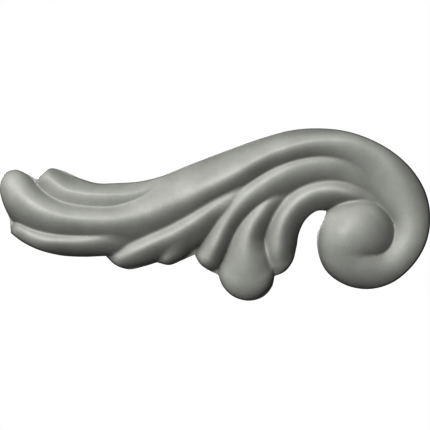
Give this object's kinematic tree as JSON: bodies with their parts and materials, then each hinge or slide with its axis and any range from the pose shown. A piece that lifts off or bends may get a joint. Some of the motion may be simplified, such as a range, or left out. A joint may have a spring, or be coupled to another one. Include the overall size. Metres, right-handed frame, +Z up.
{
  "type": "scroll onlay",
  "caption": "Moulded S-scroll onlay with ribbed leaf tips, curling fingers and a ball-ended volute, carved in low relief on a flat back for gluing to furniture or mouldings.",
  "frame": {"origin": "middle of the flat back, on the mount plane", "axes": "+X along the scroll towards the volute, +Z up as in the picture, +Y out of the flat back, so the carved front faces -Y"},
  "size_m": [0.2, 0.02, 0.08],
  "materials": {
    "grey_primer": "moulded rigid polyurethane with a matt pale grey factory primer, faintly mottled and pored, ready for paint"
  },
  "bodies": {
    "root": {"scroll_onlay": "grey_primer"}
  },
  "joints": []
}
